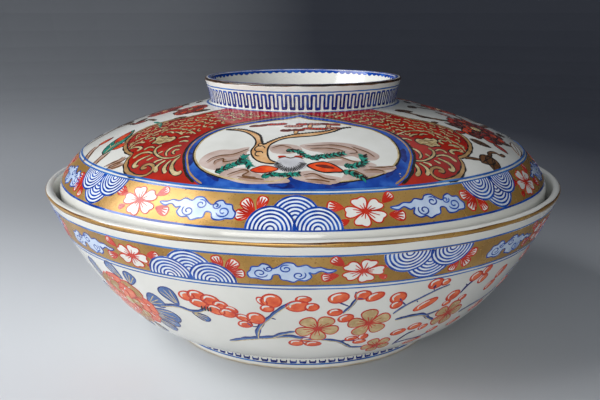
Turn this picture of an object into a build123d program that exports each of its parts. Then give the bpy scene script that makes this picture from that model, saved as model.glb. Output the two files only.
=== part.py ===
from build123d import *
import os

# A lidded porcelain rice bowl: a wide round bowl on a low foot ring, and a domed lid that drops inside
# the bowl's rim and is lifted by a hollow ring. Every piece is a solid of revolution about Z.
# Units are millimetres, +Z is up, and the origin is on the table at the bowl's axis.
# Points are (radius, height), and each curved stretch is a cubic Bezier curve.

# Driving dimensions
RIM_R = 121.0            # outside radius of the bowl's rim
RIM_Z = 75.4             # top of the bowl's rim
LIP_OUT_Z = 74.0         # where the outside wall turns into the rounded rim
LIP = 3.4                # wall thickness at the rim
FOOT_R = 66.2            # outside radius of the foot ring where it joins the bowl
FOOT_H = 7.0             # height of that joint above the table
FOOT_WALL = 7.0          # foot ring thickness at the joint
FOOT_TOE = 4.6           # foot ring thickness at the table
FLOOR_Z = 12.4           # inside floor of the bowl, on the axis
BASE_Z = 7.4             # underside of the bowl, on the axis
LID_R = 114.9            # widest radius of the lid, round its skirt
LID_WIDEST_Z = 73.6      # height of that widest ring when the lid is seated
LID_EDGE_Z = 66.6        # lowest point of the lid, when it is seated
LID_EDGE_R = 113.05      # radius of that lowest point, 0.3 mm clear of the bowl's sloping wall
SHOULDER = (105.0, 88.6)               # where the lid's band turns into its dome
CROWN_R, CROWN_Z = 44.4, 109.9         # flat top of the lid, which carries the grip ring
CROWN_WALL = 4.6         # lid thickness under that flat top
GRIP_R, GRIP_Z = 46.8, 121.4           # outside radius and height of the grip ring's lip
GRIP_WALL = 4.6          # grip ring thickness at its joint with the lid
GRIP_LIP = 3.0           # grip ring thickness at its lip


def turned(*edges):
    """The solid that a closed outline of (radius, height) edges sweeps about Z."""
    return revolve(Plane.XZ * make_face(edges), axis=Axis.Z)


def bowl_shell():
    """The bowl's thrown wall and floor, with a rounded rim and a flat pad where the foot ring joins."""
    pad_out, pad_in = (FOOT_R, FOOT_H), (FOOT_R - FOOT_WALL, FOOT_H)
    belly, belly_in = (99.0, 31.5), (94.6, 33.6)
    lip_out, lip_in = (RIM_R, LIP_OUT_Z), (RIM_R - LIP, LIP_OUT_Z + 0.2)
    well = (60.0, 15.2)
    centre, base = (0, FLOOR_Z), (0, BASE_Z)
    return turned(
        Bezier(pad_out, (81.0, 10.2), (91.0, 20.4), belly),
        Bezier(belly, (108.3, 44.4), (115.6, 58.6), lip_out),
        ThreePointArc(lip_out, (RIM_R - 0.55 * LIP, RIM_Z), lip_in),
        Bezier(lip_in, (112.0, 58.6), (103.8, 46.2), belly_in),
        Bezier(belly_in, (86.6, 22.8), (76.0, 17.4), well),
        Bezier(well, (42.0, 12.7), (20.0, FLOOR_Z), centre),
        Line(centre, base),
        Bezier(base, (20.0, BASE_Z), (40.0, FOOT_H + 0.2), pad_in),
        Line(pad_in, pad_out),
    )


def foot_ring():
    """The low ring that the bowl stands on, tapered and rounded at its bare bottom edge."""
    out_top, in_top = (FOOT_R, FOOT_H), (FOOT_R - FOOT_WALL, FOOT_H)
    out_low, in_low = (FOOT_R - 0.9, 1.1), (FOOT_R - 1.1 - FOOT_TOE, 1.1)
    flat_out, flat_in = (FOOT_R - 2.0, 0), (FOOT_R - FOOT_TOE, 0)
    return turned(
        Line(in_top, out_top),
        Line(out_top, out_low),
        ThreePointArc(out_low, (FOOT_R - 1.25, 0.33), flat_out),
        Line(flat_out, flat_in),
        ThreePointArc(flat_in, (FOOT_R - FOOT_TOE - 0.75, 0.33), in_low),
        Line(in_low, in_top),
    )


def lid_dome():
    """The domed lid: a rounded skirt that drops inside the rim, a sloping band, and a low dome."""
    edge_out, edge_in = (LID_EDGE_R + 1.6, LID_EDGE_Z + 1.0), (LID_EDGE_R - 1.3, LID_EDGE_Z + 1.2)
    widest = (LID_R, LID_WIDEST_Z)
    crown, top = (CROWN_R, CROWN_Z), (0, CROWN_Z)
    ceiling = (0, CROWN_Z - CROWN_WALL)
    haunch, shoulder_in = (62.0, 101.0), (102.2, 85.0)
    return turned(
        Bezier(edge_out, (LID_R - 0.1, 69.4), (LID_R, 71.6), widest),
        Bezier(widest, (LID_R, 77.6), (109.2, 84.6), SHOULDER),
        Bezier(SHOULDER, (96.2, 96.0), (66.0, 105.8), crown),
        Line(crown, top),
        Line(top, ceiling),
        Bezier(ceiling, (22.0, CROWN_Z - CROWN_WALL), (45.0, 105.0), haunch),
        Bezier(haunch, (75.6, 97.8), (94.8, 92.2), shoulder_in),
        Bezier(shoulder_in, (107.2, 79.9), (111.2, 75.0), edge_in),
        ThreePointArc(edge_in, (LID_EDGE_R, LID_EDGE_Z), edge_out),
    )


def grip_ring():
    """The hollow ring on top of the lid. It flares upwards, and the lid turned over stands on it."""
    out_low, in_low = (CROWN_R, CROWN_Z), (CROWN_R - GRIP_WALL, CROWN_Z)
    out_high, in_high = (GRIP_R, GRIP_Z - 0.9), (GRIP_R - GRIP_LIP, GRIP_Z - 0.9)
    flat_out, flat_in = (GRIP_R - 0.9, GRIP_Z), (GRIP_R - GRIP_LIP + 0.9, GRIP_Z)
    return turned(
        Bezier(out_low, (44.8, 113.4), (45.5, 117.0), out_high),
        ThreePointArc(out_high, (GRIP_R - 0.26, GRIP_Z - 0.26), flat_out),
        Line(flat_out, flat_in),
        ThreePointArc(flat_in, (GRIP_R - GRIP_LIP + 0.26, GRIP_Z - 0.26), in_high),
        Bezier(in_high, (42.4, 116.4), (41.2, 112.4), in_low),
        Line(in_low, out_low),
    )


os.makedirs("parts", exist_ok=True)
for make in (bowl_shell, foot_ring, lid_dome, grip_ring):
    export_step(make(), f"parts/{make.__name__}.step")
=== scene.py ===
import math

import bpy
import numpy as np
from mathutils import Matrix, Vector
from mathutils.geometry import delaunay_2d_cdt


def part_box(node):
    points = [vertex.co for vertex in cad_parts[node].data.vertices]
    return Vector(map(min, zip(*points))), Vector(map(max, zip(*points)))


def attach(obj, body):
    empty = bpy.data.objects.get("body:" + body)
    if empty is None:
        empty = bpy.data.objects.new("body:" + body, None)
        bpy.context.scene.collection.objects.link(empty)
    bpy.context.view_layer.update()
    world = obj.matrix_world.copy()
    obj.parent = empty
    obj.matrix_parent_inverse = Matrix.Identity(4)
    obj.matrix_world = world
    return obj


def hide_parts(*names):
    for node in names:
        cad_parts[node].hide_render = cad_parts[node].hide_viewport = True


# A lidded porcelain rice bowl with painted and gilded decoration. The clay is turned from the same
# outlines as the CAD pieces. Every colour of paint is a thin closed plate that lies on the clay.
# Drawings are in millimetres and are laid on the clay by the papers below.

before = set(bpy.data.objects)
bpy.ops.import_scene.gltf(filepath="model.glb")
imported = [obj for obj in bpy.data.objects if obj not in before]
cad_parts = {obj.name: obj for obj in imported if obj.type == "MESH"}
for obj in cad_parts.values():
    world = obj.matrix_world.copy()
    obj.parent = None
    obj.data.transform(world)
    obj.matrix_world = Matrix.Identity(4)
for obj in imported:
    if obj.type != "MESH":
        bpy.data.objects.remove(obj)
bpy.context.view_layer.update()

MM = 0.001
SINK = 0.05               # how far the hidden side of a paint plate lies under the glaze
GRID = 1.8                # spacing of the points that make a wide plate follow the clay
CLAY_COLUMNS = 360        # points round each ring of a turned piece
BAND_COLUMNS = 720        # points round a band of paint
FRONT = -math.pi / 2      # the front of the bowl faces -Y

# Sizes from the frame, in millimetres
SHELL_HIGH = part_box("bowl_shell")[1] / MM
FOOT_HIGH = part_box("foot_ring")[1] / MM
LID_LOW, LID_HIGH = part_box("lid_dome")[0] / MM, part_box("lid_dome")[1] / MM
GRIP_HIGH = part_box("grip_ring")[1] / MM
RIM_R, RIM_Z = SHELL_HIGH.x, SHELL_HIGH.z
FOOT_R, FOOT_H = FOOT_HIGH.x, FOOT_HIGH.z
LID_R, LID_EDGE_Z = LID_HIGH.x, LID_LOW.z
CROWN_R, CROWN_Z = 44.4, LID_HIGH.z        # flat top of the lid, which carries the grip ring
GRIP_R, GRIP_Z = GRIP_HIGH.x, GRIP_HIGH.z

rng = np.random.default_rng(11)


# Outlines

def bezier(a, b, c, d, steps=26):
    """Points along a cubic Bezier curve."""
    a, b, c, d = (np.array(p, float) for p in (a, b, c, d))
    t = np.linspace(0, 1, steps)[:, None]
    return (1 - t) ** 3 * a + 3 * (1 - t) ** 2 * t * b + 3 * (1 - t) * t ** 2 * c + t ** 3 * d


def joined(*runs):
    """One outline from runs of points, without the points that repeat where two runs meet."""
    points = np.vstack([np.array(run, float) for run in runs])
    apart = np.hypot(*np.diff(points, axis=0).T) > 1e-4
    return points[np.r_[True, apart]]


def smooth(points, step=0.9, closed=False):
    """A Catmull-Rom curve through given points, with its points about one step apart."""
    p = np.array(points, float)
    p = np.vstack([p[-1], p, p[0], p[1]]) if closed else np.vstack([2 * p[0] - p[1], p, 2 * p[-1] - p[-2]])
    runs = []
    for a, b, c, d in zip(p[:-3], p[1:-2], p[2:-1], p[3:]):
        count = max(2, int(math.ceil(np.hypot(*(c - b)) / step)) + 1)
        t = np.linspace(0, 1, count, endpoint=False)[:, None]
        runs.append(0.5 * (2 * b + (c - a) * t + (2 * a - 5 * b + 4 * c - d) * t ** 2
                           + (3 * b - a - 3 * c + d) * t ** 3))
    if not closed:
        runs.append(p[-2:-1])
    return np.vstack(runs)


def moved(points, at=(0, 0), turn=0.0, flip=False):
    """A drawing's points, mirrored left to right if asked, turned in degrees, and moved."""
    p = np.array(points, float) * ([-1, 1] if flip else [1, 1])
    c, s = math.cos(math.radians(turn)), math.sin(math.radians(turn))
    return p @ np.array([[c, s], [-s, c]]) + np.array(at, float)


def waver(angle, amount):
    """A slow uneven drift round the bowl, as a brushed line has."""
    phases = rng.uniform(0, 2 * math.pi, 5)
    return amount * sum(np.sin(k * angle + f) / 2.2 for k, f in zip((3, 7, 13, 22, 37), phases))


BELLY, BELLY_IN = (99.0, 31.5), (94.6, 33.6)
LIP = 3.4
LIP_OUT, LIP_IN = (RIM_R, RIM_Z - 1.4), (RIM_R - LIP, RIM_Z - 1.2)
SHOULDER = (105.0, 88.6)
WIDEST = (LID_R, 73.6)
EDGE_OUT, EDGE_LOW, EDGE_IN = (114.65, LID_EDGE_Z + 1.0), (113.05, LID_EDGE_Z), (111.75, LID_EDGE_Z + 1.2)
CEILING = CROWN_Z - 4.6

wall_out = joined(
    bezier((FOOT_R, FOOT_H), (81.0, 10.2), (91.0, 20.4), BELLY),
    bezier(BELLY, (108.3, 44.4), (115.6, 58.6), LIP_OUT))
lip = bezier(LIP_OUT, (RIM_R - 0.1, RIM_Z + 0.4), (RIM_R - LIP + 0.4, RIM_Z + 0.5), LIP_IN, 12)
wall_in = joined(
    bezier(LIP_IN, (112.0, 58.6), (103.8, 46.2), BELLY_IN),
    bezier(BELLY_IN, (86.6, 22.8), (76.0, 17.4), (60.0, 15.2)),
    bezier((60.0, 15.2), (42.0, 12.7), (20.0, 12.4), (0, 12.4)))
underside = bezier((0, 7.4), (20.0, 7.4), (40.0, FOOT_H + 0.2), (FOOT_R - 7.0, FOOT_H), 10)
foot_out = joined([(FOOT_R - 2.0, 0)], bezier((FOOT_R - 2.0, 0), (FOOT_R - 1.2, 0), (FOOT_R - 0.95, 0.5),
                  (FOOT_R - 0.9, 1.1), 7), np.linspace((FOOT_R - 0.9, 1.1), (FOOT_R, FOOT_H), 8))
foot_in = joined(np.linspace((FOOT_R - 7.0, FOOT_H), (FOOT_R - 5.7, 1.1), 8),
                 bezier((FOOT_R - 5.7, 1.1), (FOOT_R - 5.6, 0.4), (FOOT_R - 5.2, 0), (FOOT_R - 4.6, 0), 7))
lid_out = joined(
    bezier(EDGE_OUT, (LID_R - 0.1, 69.4), (LID_R, 71.6), WIDEST, 10),
    bezier(WIDEST, (LID_R, 77.6), (109.2, 84.6), SHOULDER),
    bezier(SHOULDER, (96.2, 96.0), (66.0, 105.8), (CROWN_R, CROWN_Z), 36))
lid_in = joined(
    bezier((0, CEILING), (22.0, CEILING), (45.0, 105.0), (62.0, 101.0)),
    bezier((62.0, 101.0), (75.6, 97.8), (94.8, 92.2), (102.2, 85.0)),
    bezier((102.2, 85.0), (107.2, 79.9), (111.2, 75.0), EDGE_IN),
    bezier(EDGE_IN, (112.0, LID_EDGE_Z), EDGE_LOW, EDGE_OUT, 9))
grip_out = bezier((CROWN_R, CROWN_Z), (44.8, 113.4), (45.5, 117.0), (GRIP_R, GRIP_Z - 0.9), 16)
grip_lip = joined(bezier((GRIP_R, GRIP_Z - 0.9), (GRIP_R, GRIP_Z - 0.3), (GRIP_R - 0.4, GRIP_Z),
                         (GRIP_R - 0.9, GRIP_Z), 7),
                  bezier((GRIP_R - 2.1, GRIP_Z), (GRIP_R - 2.6, GRIP_Z), (GRIP_R - 3, GRIP_Z - 0.3),
                         (GRIP_R - 3, GRIP_Z - 0.9), 7))
grip_in = bezier((GRIP_R - 3, GRIP_Z - 0.9), (42.4, 116.4), (41.2, 112.4), (CROWN_R - 4.6, CROWN_Z), 16)


# Papers: they lay a flat drawing on the clay

class Skin:
    """A turned surface as an outline from its low end to its high end, with its outward normals."""

    def __init__(self, outline, side=1):
        self.points = outline
        steps = np.diff(outline, axis=0)
        self.lengths = np.r_[0, np.cumsum(np.hypot(*steps.T))]
        normals = side * np.c_[steps[:, 1], -steps[:, 0]] / np.hypot(*steps.T)[:, None]
        mean = np.vstack([normals[:1], normals[:-1] + normals[1:], normals[-1:]])
        self.normals = mean / np.hypot(*mean.T)[:, None]

    def place(self, angle, length, lift):
        """Points in metres at an angle to the right of the front, a length up the outline, and a lift."""
        def read(values):
            return np.interp(length, self.lengths, values)
        r = read(self.points[:, 0]) + lift * read(self.normals[:, 0])
        z = read(self.points[:, 1]) + lift * read(self.normals[:, 1])
        return np.c_[r * np.sin(angle), -r * np.cos(angle), z] * MM


class WallPaper:
    """Lays a drawing on a wall: x runs round it at a stated radius, and y runs up the outline from a base."""

    def __init__(self, body, skin, base, radius, turn=0.0):
        self.body, self.skin, self.base, self.radius, self.turn = body, skin, base, radius, math.radians(turn)

    def lay(self, xy, lift):
        return self.skin.place(xy[:, 0] / self.radius + self.turn, self.base + xy[:, 1], lift)


class PlanPaper:
    """Lays a drawing on the dome as seen from above, with the axis at (0, 0) and the front at -y."""

    def __init__(self, body, skin, turn=0.0):
        self.body, self.skin, self.turn = body, skin, math.radians(turn)

    def lay(self, xy, lift):
        radius = np.hypot(xy[:, 0], xy[:, 1])
        length = np.interp(-radius, -self.skin.points[:, 0], self.skin.lengths)
        return self.skin.place(np.arctan2(xy[:, 0], -xy[:, 1]) + self.turn, length, lift)


# Paint

paint = {}                # (body, colour) to the parts of that colour's mesh


def plate(paper, colour, points, triangles, rim, lift):
    """Adds one closed thin plate of paint. rim lists the points round its edge, in order."""
    verts, faces = paint.setdefault((paper.body, colour), ([], []))
    start = sum(len(v) for v in verts)
    count = len(points)
    verts.append(paper.lay(points, lift))
    verts.append(paper.lay(points, -SINK))
    top = paper.lay(points[triangles[0]], lift)
    u, v = top[1] - top[0], top[2] - top[0]
    outward = verts[-2][triangles[0][0]] - verts[-1][triangles[0][0]]
    if np.dot(np.cross(u, v), outward) < 0:
        triangles = [t[::-1] for t in triangles]
        rim = rim[::-1]
    faces += [[start + i for i in t] for t in triangles]
    faces += [[start + count + i for i in t[::-1]] for t in triangles]
    for a, b in zip(rim, rim[1:] + rim[:1]):
        faces.append([start + a, start + count + a, start + count + b, start + b])


def fill(paper, colour, outline, lift):
    """A filled shape, with inner points so that a wide one bends with the clay."""
    outline = np.array(outline, float)
    low, high = outline.min(0), outline.max(0)
    points = outline
    if max(high - low) > 1.5 * GRID:
        x, y = np.meshgrid(np.arange(low[0], high[0], GRID), np.arange(low[1], high[1], GRID))
        inner = np.c_[x.ravel(), y.ravel()]
        gap = np.hypot(*(inner[:, None] - outline[None]).transpose(2, 0, 1)).min(1)
        points = np.vstack([outline, inner[gap > 0.35 * GRID]])
    ring = list(range(len(outline)))
    made = delaunay_2d_cdt([Vector(p) for p in points], [], [ring], 1, 1e-5)
    verts, triangles, sources = np.array([list(v) for v in made[0]]), made[2], made[3]
    place = {source: i for i, group in enumerate(sources) for source in group}
    if triangles:
        plate(paper, colour, verts, [list(t) for t in triangles], [place[i] for i in ring], lift)


def line(paper, colour, points, width, lift, taper=1.0, curved=True, step=0.9):
    """A brush stroke along points. It wavers in width, and its ends narrow over taper widths."""
    p = np.array(points, float)
    if curved:
        p = smooth(p, step)
    elif len(p) == 2:
        p = p[0] + (p[1] - p[0]) * np.array([0, 0.08, 0.3, 0.7, 0.92, 1])[:, None]
    along = np.r_[0, np.cumsum(np.hypot(*np.diff(p, axis=0).T))]
    way = np.gradient(p, axis=0)
    way /= np.maximum(np.hypot(*way.T), 1e-9)[:, None]
    side = np.c_[-way[:, 1], way[:, 0]]
    wide = np.interp(along / along[-1], np.linspace(0, 1, np.size(width)), np.atleast_1d(width))
    wide = wide * (1 + 0.12 * np.sin(along * 1.3 + rng.uniform(0, 6)))
    if taper:
        end = np.minimum(along, along[-1] - along) / np.maximum(taper * wide, 1e-6)
        wide = wide * np.sqrt(np.clip(end + 0.12, 0, 1))
    left, right = p + side * wide[:, None] / 2, p - side * wide[:, None] / 2
    n = len(p)
    triangles = []
    for i in range(n - 1):
        triangles += [[i, i + 1, n + i + 1], [i, n + i + 1, n + i]]
    plate(paper, colour, np.vstack([left, right]), triangles,
          list(range(n)) + list(range(2 * n - 1, n - 1, -1)), lift)


def loop(paper, colour, outline, width, lift):
    """A brush stroke all round a closed outline."""
    outline = np.array(outline, float)
    line(paper, colour, np.vstack([outline, outline[:2]]), width, lift, taper=0, curved=False)


def shape(paper, colour, edge, outline, lift, width=0.4):
    """A filled shape with a brushed edge."""
    fill(paper, colour, outline, lift)
    loop(paper, edge, outline, width, lift + 0.03)


def band(paper, colour, low, high, lift, drift=0.06, rows=1):
    """A band of paint right round the clay, from y = low to y = high on the paper."""
    verts, faces = paint.setdefault((paper.body, colour), ([], []))
    start = sum(len(v) for v in verts)
    angle = np.arange(BAND_COLUMNS) * 2 * math.pi / BAND_COLUMNS
    bottom, top = low + waver(angle, drift), high + waver(angle, drift)
    for k in range(rows + 1):
        y = bottom + (top - bottom) * k / rows
        verts.append(paper.lay(np.c_[angle * paper.radius, y], lift))
    for y in (top, bottom):
        verts.append(paper.lay(np.c_[angle * paper.radius, y], -SINK))
    rings = rows + 3
    for k in range(rings):
        this, following = start + k * BAND_COLUMNS, start + (k + 1) % rings * BAND_COLUMNS
        for i in range(BAND_COLUMNS):
            j = (i + 1) % BAND_COLUMNS
            faces.append([this + i, this + j, following + j, following + i])


# Motifs: each is drawn about (0, 0) and stamped where it is wanted

def petal_outline(length, width, notch=0.0, steps=22):
    """A petal that grows up from (0, 0). It is widest near its far end, which may be notched."""
    a = np.linspace(0, 2 * math.pi, steps, endpoint=False)
    y = length * (1 - np.cos(a)) / 2
    x = width / 2 * np.sin(a) * (0.32 + 0.68 * (y / length)) / 0.80
    y = y - notch * np.exp(-((a - math.pi) / 0.32) ** 2)
    return np.c_[x, y]


def leaf_outline(length, width):
    """A pointed leaf that grows up from (0, 0)."""
    t = np.linspace(0, 1, 9)
    x = width / 2 * np.sin(math.pi * t ** 0.85) ** 0.8
    right = np.c_[x, length * t]
    return np.vstack([right, right[-2:0:-1] * [-1, 1]])


def oval(width, height, steps=18):
    """An upright oval about (0, 0)."""
    a = np.linspace(0, 2 * math.pi, steps, endpoint=False)
    return np.c_[width / 2 * np.cos(a), height / 2 * np.sin(a)]


def blossom(paper, at, size, turn, colour, lift, notch, squeeze, wide):
    """A five-petalled blossom with a brushed edge and stamens.

    A petal is about size long, wide times that across, and notched by notch times that. The whole is
    squeezed in height."""
    def stamp(points, extra):
        return moved(moved(points, turn=turn + extra) * [1, squeeze], at)
    for k in range(5):
        long = size * rng.uniform(0.94, 1.06)
        outline = petal_outline(long * 0.94, size * wide, size * notch) + [0, 0.1 * size]
        shape(paper, colour, "red", stamp(outline, 72 * k), lift + 0.004 * k, 0.5)
    for k in range(15):
        reach = size * rng.uniform(0.4, 0.72)
        line(paper, "red", stamp([(0, 0.02 * size), (0, reach)], 24 * k + 8), [0.5, 0.3], lift + 0.06,
             curved=False)
    fill(paper, "red", moved(oval(0.3 * size, 0.3 * size * squeeze), at), lift + 0.065)


def bud_petal(paper, at, size, turn, lift):
    """A white petal with red stripes, in the gold band. It grows from its pointed end."""
    outline = moved(petal_outline(size, 0.70 * size, 0.03 * size), at, turn)
    shape(paper, "white", "red", outline, lift, 0.55)
    for lean in (-19, -7, 7, 19):
        stripe = moved(moved([(0, 0.06 * size), (0, 0.88 * size)], turn=lean), at, turn)
        line(paper, "red", stripe, [0.5, 0.72, 0.5], lift + 0.04, curved=False)


def wave_fan(paper, at, up, lift, wide):
    """Three overlapping fans of concentric arcs, like scales of water. up is 1, or -1 to hang them."""
    def fan(x, y, radius, lift):
        a = np.linspace(0, math.pi, 26)
        edge = np.c_[np.cos(a), np.sin(a)] * radius
        ground = np.vstack([edge, np.c_[np.linspace(-radius, radius, 14)[1:-1], np.zeros(12)]])
        place = np.array(at) + [0, up * y]
        fill(paper, "mist", (ground + [x, 0]) * [wide, up] + place, lift)
        for k in range(6):
            arc = edge * (0.955 - 0.16 * k) + [x, 0]
            line(paper, "cobalt", arc * [wide, up] + place, 0.78 - 0.03 * k, lift + 0.03, taper=0,
                 curved=False)
    fan(0.2, 4.2, 9.2, lift)
    fan(-8.3, 0.0, 9.0, lift + 0.07)
    fan(8.0, 0.0, 8.8, lift + 0.07)


CLOUD = [
    (-13.5, 0.9), (-11.2, -0.3), (-9.0, 0.7), (-7.0, -0.6), (-5.4, 0.0), (-6.2, -2.2), (-4.4, -4.0),
    (-2.2, -3.7), (-0.8, -4.8), (1.2, -4.0), (3.0, -3.4), (3.6, -1.2), (5.4, -1.4), (6.2, -3.6),
    (8.6, -3.9), (10.4, -3.2), (12.6, -3.0), (13.2, -0.9), (12.2, 0.6), (11.6, 2.3), (9.6, 2.6), (8.4, 3.9),
    (6.6, 3.4), (5.4, 1.8), (3.8, 2.6), (1.6, 4.6), (-0.8, 4.4), (-2.0, 2.9), (-4.6, 3.6), (-6.4, 2.2),
    (-8.8, 2.4), (-10.8, 1.4)]


def cloud(paper, at, lift, flip):
    """A curling cloud with a trailing tail."""
    def stamp(points):
        return moved(np.array(points) * [1.17, 0.96], at, flip=flip)
    shape(paper, "sky", "cobalt", stamp(smooth(CLOUD, 0.8, closed=True)), lift, 0.55)
    for x, y, size, spin, start in ((-2.4, -1.4, 2.2, 1, 2.4), (1.4, 1.7, 2.0, -1, 2.0),
                                    (9.2, -0.6, 2.3, 1, 3.4), (6.6, 1.6, 1.4, -1, 0.4)):
        a = np.linspace(0, 1.35 * 2 * math.pi, 24)
        r = size * (1 - a / a[-1] * 0.78)
        curl = np.c_[x + r * np.cos(a * spin + start), y + r * np.sin(a * spin + start)]
        line(paper, "cobalt", stamp(curl), 0.52, lift + 0.03, curved=False)


def band_unit(paper, x, rising, height, flip, drift=0.0):
    """One eighth of the gold band: a fan with petals, a blossom among petals, and a cloud.

    A rising fan stands on the band's lower line, and another hangs from its upper line. The drift moves
    the fan and its petals along the band."""
    way = -1 if flip else 1
    middle = height / 2
    tall = height / 14
    up = 1 if rising else -1
    wave_fan(paper, (x + drift, 0.1 if rising else height - 0.1), up, 0.07, 1.07 if flip else 1.0)
    for size, turn in ((6.6, 45), (6.2, -16), (6.4, 92)):
        lean = turn if rising else 180 - turn
        root = np.array([x + drift - way * 13.4, middle - 1.5 * up])
        root += moved([(0, 1.6)], turn=way * lean)[0] * [1, tall]
        bud_petal(paper, root, size, way * lean, 0.06)
    bloom = x + way * 25.2
    for dx, dy, size, turn in ((-7.9, 1.2, 6.0, 78), (-6.4, -3.6, 3.0, 112), (7.2, 2.8, 5.4, -52),
                               (8.8, -2.2, 6.0, -100)):
        bud_petal(paper, (bloom + way * dx, middle + dy * tall), size, turn * way, 0.06)
    cloud(paper, (x + way * 50.6, middle - 0.4), 0.07, flip)
    blossom(paper, (bloom, middle - 0.4), 7.9, 92 * way, "white", 0.12, 0.12, 0.75 * tall, 0.84)


def within(outline, radius):
    """An outline drawn in to a radius wherever it passes it."""
    return outline * np.minimum(1, radius / np.hypot(*outline.T))[:, None]


def scroll(paper, points, wide, lift, colour="gilt"):
    """A curling stroke of raised colour with a thin tail and a round head, edged in black."""
    widths = np.array([0.5, 0.62, 0.8, 0.95, 1.0]) * wide
    line(paper, "black", points, widths + 0.9, lift, taper=0.45, step=0.7)
    line(paper, colour, points, widths, lift + 0.04, taper=0.45, step=0.7)


def inside(point, outline):
    """Whether a point lies inside an outline."""
    x, y = point
    odd = False
    for (ax, ay), (bx, by) in zip(outline, np.roll(outline, -1, axis=0)):
        if (ay > y) != (by > y) and x < ax + (y - ay) * (bx - ax) / (by - ay):
            odd = not odd
    return odd


def needles(paper, spine, length, lift):
    """A pine spray: a teal body with black needles along it."""
    p = smooth(spine, 0.62)
    line(paper, "teal", spine, [0.8, length * 1.2, length * 1.4, 1.0], lift)
    way = np.gradient(p, axis=0)
    way /= np.hypot(*way.T)[:, None]
    for (x, y), (dx, dy) in zip(p, way):
        for side in (-1, 1):
            reach = length * rng.uniform(0.8, 1.3)
            tip = (x + reach * (0.6 * dx - side * 0.85 * dy), y + reach * (0.6 * dy + side * 0.85 * dx))
            stroke = ("black", "teal")[rng.integers(2)]
            line(paper, stroke, [(x, y), tip], [0.5, 0.32], lift + 0.04, curved=False)


# The lid's dome, drawn as seen from above

def mirrored(half):
    """A closed outline from its right half, which runs from the bottom of the middle line to the top."""
    half = np.array(half, float)
    return np.vstack([half, half[-2:0:-1] * [-1, 1]])


def arc_points(radius, start, end, steps):
    """Points on a circle about the axis, from one angle to another in degrees to the right of the front."""
    a = np.radians(np.linspace(start, end, steps))
    return np.c_[radius * np.sin(a), -radius * np.cos(a)]


LINE_R = 104.2            # the blue line that ends the dome's painting


def red_grounds(paper):
    """The iron-red lobes either side of a panel, with gold scrolls."""
    upper, lower = smooth(LOBE_HIGH, 1.2), smooth(LOBE_LOW, 1.2)
    right = np.vstack([arc_points(LINE_R, 4, 34.2, 38), lower[::-1], upper[::-1][1:],
                       arc_points(46.2, 44, 2, 26)])
    outline = np.vstack([right, right[::-1] * [-1, 1]])
    fill(paper, "deep_red", outline, 0.06)
    for side in (-1, 1):
        for run in (upper, lower):
            edge = run * [side, 1]
            line(paper, "black", edge, [1.3, 2.4, 2.4, 2.2], 0.08, taper=0.3, curved=False)
            line(paper, "brass", edge, [0.5, 1.2, 1.3, 1.1], 0.11, taper=0.3, curved=False)
        for points, wide in SCROLLS:
            scroll(paper, np.array(points) * [side, 1], wide, 0.08)
        scroll(paper, np.array(LOBE_HOOK) * [side, 1], 1.3, 0.09, "brass")
        line(paper, "black", np.array(ARCH) * [side, 1], 1.1, 0.08)
        line(paper, "gilt", np.array(ARCH) * [side, 1], 0.55, 0.10)
        small_commas(paper, side, right)
        palmette(paper, (side * 54, -61.5), side)


def small_commas(paper, side, ground):
    """Rows of short gold commas that fill the red between the arch and the ring."""
    for row in range(10):
        radius = 11.8 + 3.2 * row
        count = int(radius * 1.06)
        for k in range(count):
            a = math.radians(-20 + 220 * (k + 0.5 * (row % 2)) / count)
            spot = np.array([50.5 + radius * 1.04 * math.cos(a), -68.5 + radius * math.sin(a)])
            spot += rng.uniform(-0.5, 0.5, 2)
            rooms = [inside(spot + [2.0 * math.cos(b), 2.0 * math.sin(b)], ground)
                     for b in (0, 1.57, 3.14, 4.71)]
            clear = np.hypot((spot[0] - 1) / 45.5, (spot[1] + 77) / 27) > 1.04
            if not all(rooms) or not clear or np.hypot(*spot) < 48.4 or (row < 2 and spot[0] > 49):
                continue
            bend = 1 if (k + row) % 2 else -1
            curl = [(-1.5, -0.45), (-0.5, 0.35), (0.6, 0.45), (1.2, -0.1), (0.9, -0.6)]
            turn = math.degrees(a) + 90 + bend * 24 + rng.uniform(-16, 16)
            points = moved(np.array(curl) * [1, bend], spot, turn) * [side, 1]
            line(paper, "black", points, [1.0, 1.4, 1.7], 0.07, taper=0.4)
            line(paper, "old_gold", points, [0.45, 0.75, 1.0], 0.10, taper=0.4)


def palmette(paper, at, side):
    """A gold flower head at the heart of a red lobe."""
    outline = smooth([(-5.4, -1.0), (-4.4, 1.4), (-2.2, 1.8), (-0.6, 4.2), (1.6, 4.4), (2.6, 6.0),
                      (4.4, 4.0), (3.8, 1.8), (5.0, -0.6), (2.8, -1.8), (1.0, -3.6), (-1.6, -2.8),
                      (-3.6, -3.2)], 0.8, True)
    shape(paper, "gilt", "black", moved(outline, at, flip=side < 0), 0.11, 0.5)
    for points in ([(-4, -0.6), (-1.4, 0.4), (1, 0.2), (3.6, -0.4)], [(-2, 1.2), (0.6, 2.0), (2.6, 3.8)],
                   [(-2.6, -2), (0, -1), (2, -1.4)]):
        line(paper, "umber", moved(points, at, flip=side < 0), 0.4, 0.16)


LOBE_HIGH = [(35.5, -34.6), (47, -37.4), (53.6, -36.6), (59.3, -36.3), (65, -37.2), (68.9, -39.9),
             (71.6, -44.6), (72.5, -50.6), (71.5, -57.2), (68.9, -63.4), (65.6, -67.6)]
LOBE_LOW = [(65.6, -67.6), (66.6, -71), (66.4, -74.8), (64.9, -79.1), (62.2, -82.9), (58.9, -85.6)]
LOBE_HOOK = [(60.6, -84.2), (57.6, -86), (54.8, -86.4), (53, -84.6), (53.6, -81.8), (55.6, -80),
             (57.6, -80.2), (57.8, -81.6), (56, -82)]
ARCH = [(69.6, -59.4), (67.8, -55.6), (63.8, -52.6), (58.7, -49.6), (54.4, -49.6), (50, -51.6), (45, -55.6),
        (40.6, -61.4)]

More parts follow.
